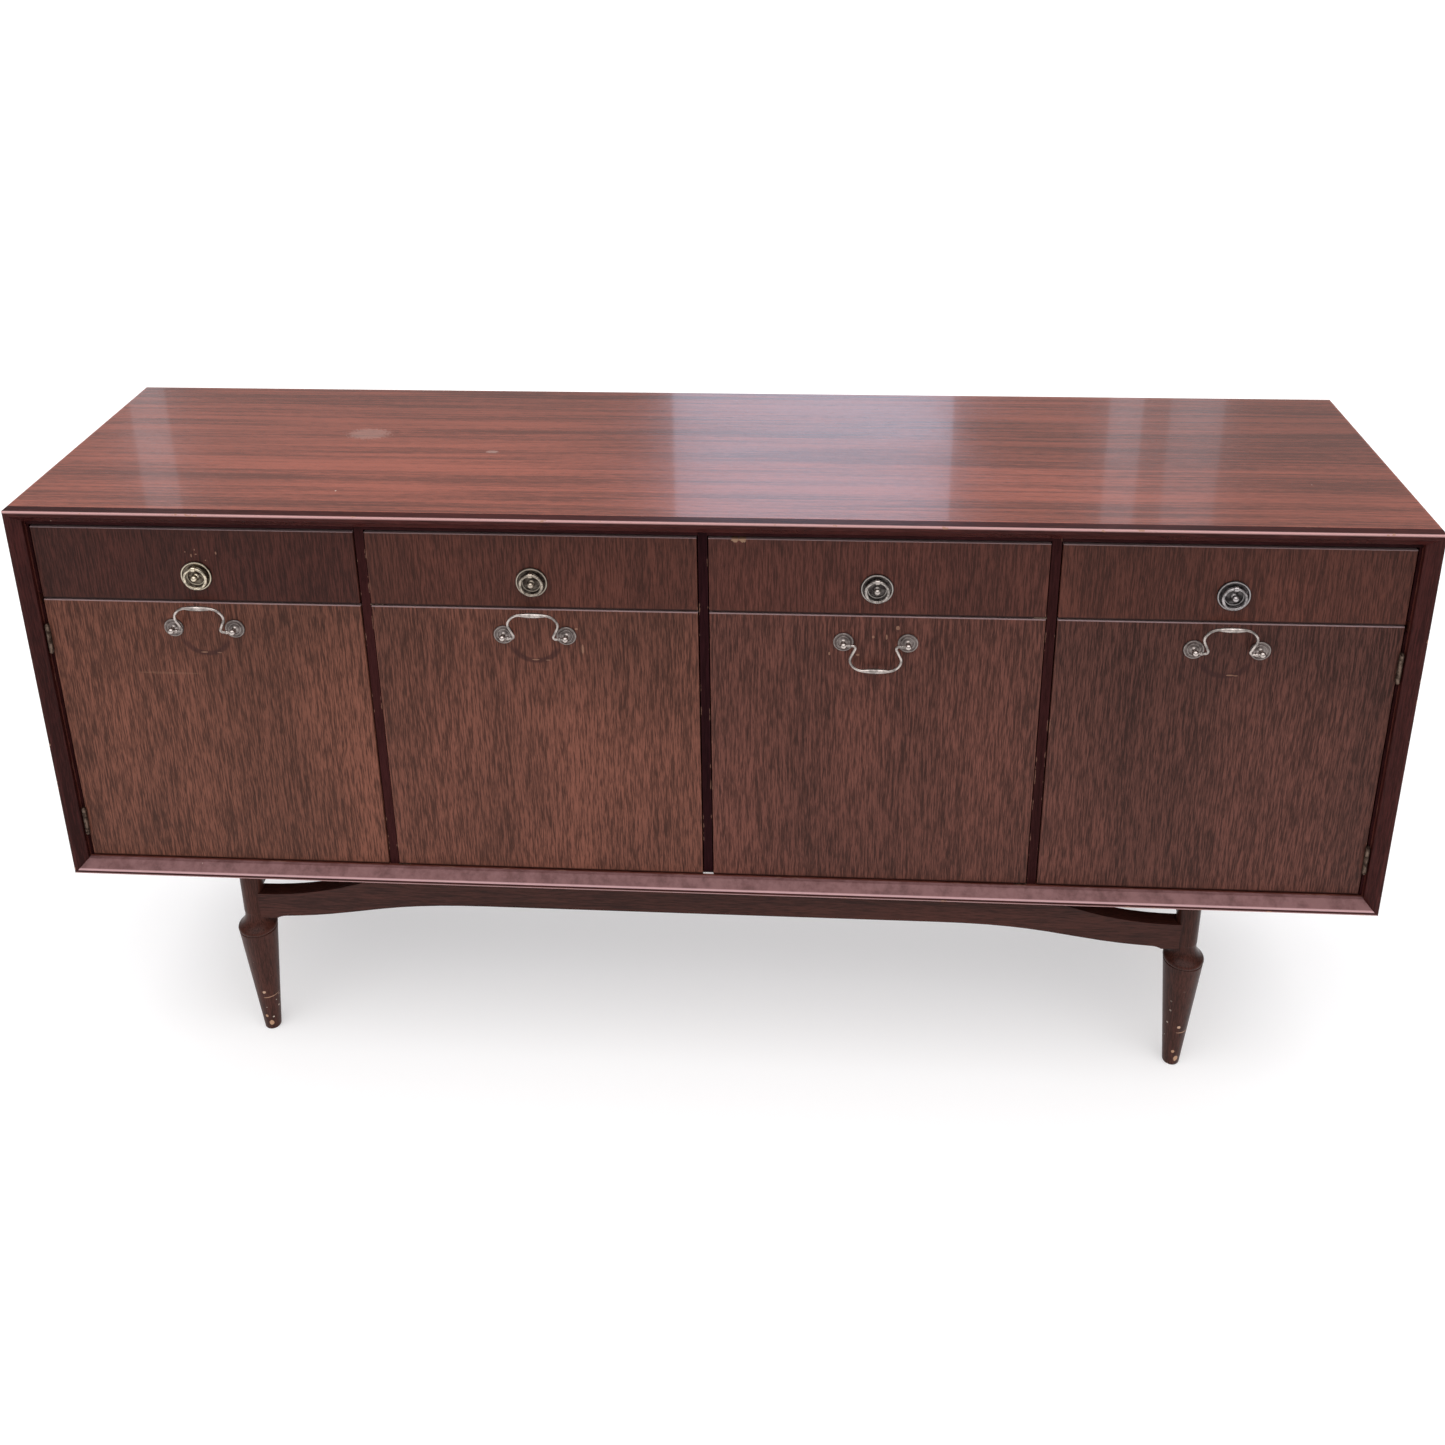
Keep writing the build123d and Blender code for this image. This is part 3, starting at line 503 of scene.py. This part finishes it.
def catchPlastic():
    finish, tree, shader = newFinish("catchPlastic")
    spot = place(tree)
    tone = clouds(tree, spot, 60.0, 4.0, 0.6)
    colour = blended(tree, spread(tree, tone, 0.3, 0.7), tint(196, 186, 166), tint(222, 214, 198))
    join(tree, colour, shader.inputs["Base Color"])
    join(tree, spread(tree, tone, 0.3, 0.7, 0.4, 0.55), shader.inputs["Roughness"])
    bump = put(tree, "Bump", {"Height": clouds(tree, spot, 900.0), "Strength": 0.2, "Distance": 0.0002})
    join(tree, bump.outputs[0], shader.inputs["Normal"])
    return finish


plasticFinish = catchPlastic()
dress("door_catches", plasticFinish)
print("handles, hinges and catches are finished")


def meshPiece(name, build, finish, body):
    mesh = bpy.data.meshes.new(name)
    made = bmesh.new()
    build(made)
    made.normal_update()
    made.to_mesh(mesh)
    made.free()
    piece = bpy.data.objects.new(name, mesh)
    bpy.context.scene.collection.objects.link(piece)
    mesh.materials.append(finish)
    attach(piece, body)


hingeScrew = {
    "radius": 0.0024, "proud": 0.00025, "slotWidth": 0.0006, "slotDepth": 0.0003, "steps": 24,
    "rise": (0.006, 0.019, 0.032),      # along the leaf, from its foot
    "feet": (0.614, 0.3405),            # where the leaves start
    "doorY": -0.1845, "caseY": -0.1785,
}


def screwHead(made, where, facing, turnAngle):
    # a slotted countersunk head: a low dome with a cut across it, facing along +X or -X
    s = hingeScrew
    rings = ((1.0, 0.0), (0.96, 0.55), (0.7, 0.85), (0.35, 1.0))
    rows = []
    for share, rise in rings:
        row = []
        for k in range(s["steps"]):
            angle = 2 * math.pi * k / s["steps"]
            y, z = share * s["radius"] * math.cos(angle), share * s["radius"] * math.sin(angle)
            lift = s["proud"] * rise
            if abs(z) < s["slotWidth"] / 2 + 0.00008 and share < 0.98:
                lift = -s["slotDepth"] * 0.3
            turnedY = y * math.cos(turnAngle) - z * math.sin(turnAngle)
            turnedZ = y * math.sin(turnAngle) + z * math.cos(turnAngle)
            row.append(made.verts.new(Vector(where) + Vector((facing * lift, turnedY, turnedZ))))
        rows.append(row)
    middle = made.verts.new(Vector(where) + Vector((-facing * s["slotDepth"] * 0.3, 0, 0)))
    back = made.verts.new(Vector(where) + Vector((-facing * 0.0008, 0, 0)))
    for a, b in zip(rows, rows[1:]):
        for k in range(s["steps"]):
            m = (k + 1) % s["steps"]
            made.faces.new((a[k], a[m], b[m], b[k]) if facing < 0 else (a[k], b[k], b[m], a[m]))
    for k in range(s["steps"]):
        m = (k + 1) % s["steps"]
        made.faces.new((rows[-1][k], rows[-1][m], middle) if facing < 0 else (rows[-1][k], middle, rows[-1][m]))
        made.faces.new((rows[0][k], back, rows[0][m]) if facing < 0 else (rows[0][k], rows[0][m], back))


def addHingeScrews():
    s = hingeScrew
    knuckleX = {1: -0.817, 4: 0.817}
    leafGap = 0.001
    for door, x in knuckleX.items():
        way = 1 if x < 0 else -1

        def onDoor(made):
            for foot in s["feet"]:
                for rise in s["rise"]:
                    where = (x + way * leafGap, s["doorY"], foot + rise)
                    screwHead(made, where, -way, random.uniform(0, math.pi))

        meshPiece("door_%d_hinge_screws" % door, onDoor, hingeMetal, "door_%d" % door)

    def onCase(made):
        for x in knuckleX.values():
            way = 1 if x < 0 else -1
            for foot in s["feet"]:
                for rise in s["rise"]:
                    where = (x - way * leafGap, s["caseY"], foot + rise)
                    screwHead(made, where, way, random.uniform(0, math.pi))

    meshPiece("case_hinge_screws", onCase, hingeMetal, "case")


addHingeScrews()

# a pale slip under the middle of the case, at the foot of the centre partition
footSlip = {"half": 0.0068, "front": -0.1911, "back": -0.1902, "low": 0.3031, "high": 0.3054, "ease": 0.0002}


def slipShape(made):
    s = footSlip
    size = (2 * s["half"], s["back"] - s["front"], s["high"] - s["low"])
    middle = Vector((0, (s["back"] + s["front"]) / 2, (s["high"] + s["low"]) / 2))
    bmesh.ops.create_cube(made, size=1.0, matrix=Matrix.Translation(middle) @ Matrix.Diagonal((*size, 1)))
    bmesh.ops.bevel(made, geom=made.edges[:], offset=s["ease"], segments=2, affect="EDGES")


def paperFinish():
    finish, tree, shader = newFinish("slipPaper")
    tone = clouds(tree, place(tree), 700.0, 3.0)
    join(tree, blended(tree, tone, tint(210, 206, 204), tint(240, 238, 238)), shader.inputs["Base Color"])
    join(tree, spread(tree, tone, 0.3, 0.7, 0.5, 0.65), shader.inputs["Roughness"])
    return finish


meshPiece("centre_foot_slip", slipShape, paperFinish(), "case")
print("small pieces are made")


def addFloor():
    mesh = bpy.data.meshes.new("floor")
    made = bmesh.new()
    bmesh.ops.create_grid(made, x_segments=1, y_segments=1, size=40)
    made.to_mesh(mesh)
    made.free()
    floor = bpy.data.objects.new("floor", mesh)
    bpy.context.scene.collection.objects.link(floor)
    finish, tree, shader = newFinish("floorPaint")
    shader.inputs["Base Color"].default_value = (0.66, 0.66, 0.66, 1)
    shader.inputs["Emission Color"].default_value = (1, 1, 1, 1)
    shader.inputs["Emission Strength"].default_value = 0.40
    shader.inputs["Roughness"].default_value = 0.7
    shader.inputs["Specular IOR Level"].default_value = 0.1
    mesh.materials.append(finish)


skyLight = {"horizon": 0.44, "zenith": 2.30, "lean": (0.0, -0.26, 0.966), "from": 0.62, "to": 0.84}


def addSky():
    world = bpy.data.worlds.new("studio")
    bpy.context.scene.world = world
    world.use_nodes = True
    tree = world.node_tree
    tree.nodes.clear()
    s = skyLight
    direction = put(tree, "TexCoord").outputs["Generated"]
    up = put(tree, "VectorMath", {0: direction, 1: s["lean"]}, operation="DOT_PRODUCT").outputs["Value"]
    strength = spread(tree, up, s["from"], s["to"], s["horizon"], s["zenith"])
    light = put(tree, "Background", {"Color": (1.0, 0.985, 0.99, 1), "Strength": strength})
    put(tree, "OutputWorld", {0: light.outputs[0]})


# tall soft panels behind the case, which show as pale bands in the polished top
backPanels = [
    {"x": (-0.30, 0.555), "colour": (0.60, 0.76, 1.0), "glow": 2.3},
    {"x": (1.02, 1.12), "colour": (0.75, 0.85, 1.0), "glow": 1.1},
    {"x": (1.20, 1.36), "colour": (0.75, 0.85, 1.0), "glow": 0.7},
    {"x": (-2.02, -1.90), "colour": (0.8, 0.88, 1.0), "glow": 1.0},
]
backPanelY = 2.5
backPanelZ = (1.35, 2.65)


def addPanel(name, settings):
    low, high = settings["x"]
    lamp = bpy.data.lights.new(name, "AREA")
    lamp.shape = "RECTANGLE"
    lamp.size = high - low
    lamp.size_y = backPanelZ[1] - backPanelZ[0]
    lamp.color = settings["colour"]
    lamp.energy = settings["glow"] * math.pi * lamp.size * lamp.size_y
    panel = bpy.data.objects.new(name, lamp)
    panel.location = ((low + high) / 2, backPanelY, sum(backPanelZ) / 2)
    panel.rotation_euler = (-math.pi / 2, 0, 0)      # shines towards the front
    bpy.context.scene.collection.objects.link(panel)


viewpoint = {
    "place": (0.127, -1.770, 1.573), "lens": 37.39, "pitch": 0.37278, "roll": -0.01523, "yaw": 0.07238,
    "shift": (0.008, -0.22),
}


def addCamera():
    v = viewpoint
    data = bpy.data.cameras.new("camera")
    data.lens = v["lens"]
    data.sensor_width = 36
    data.shift_x, data.shift_y = v["shift"]
    data.clip_end = 100
    camera = bpy.data.objects.new("camera", data)
    turn = Matrix.Rotation(v["yaw"], 4, "Z") @ Matrix.Rotation(math.pi / 2 - v["pitch"], 4, "X")
    camera.matrix_world = Matrix.Translation(v["place"]) @ turn @ Matrix.Rotation(v["roll"], 4, "Z")
    bpy.context.scene.collection.objects.link(camera)
    bpy.context.scene.camera = camera


addFloor()
addSky()
for n, settings in enumerate(backPanels):
    addPanel("back_panel_light_%d" % (n + 1), settings)
addCamera()
bpy.context.scene.view_settings.view_transform = "Standard"
print("floor, light and camera are set")
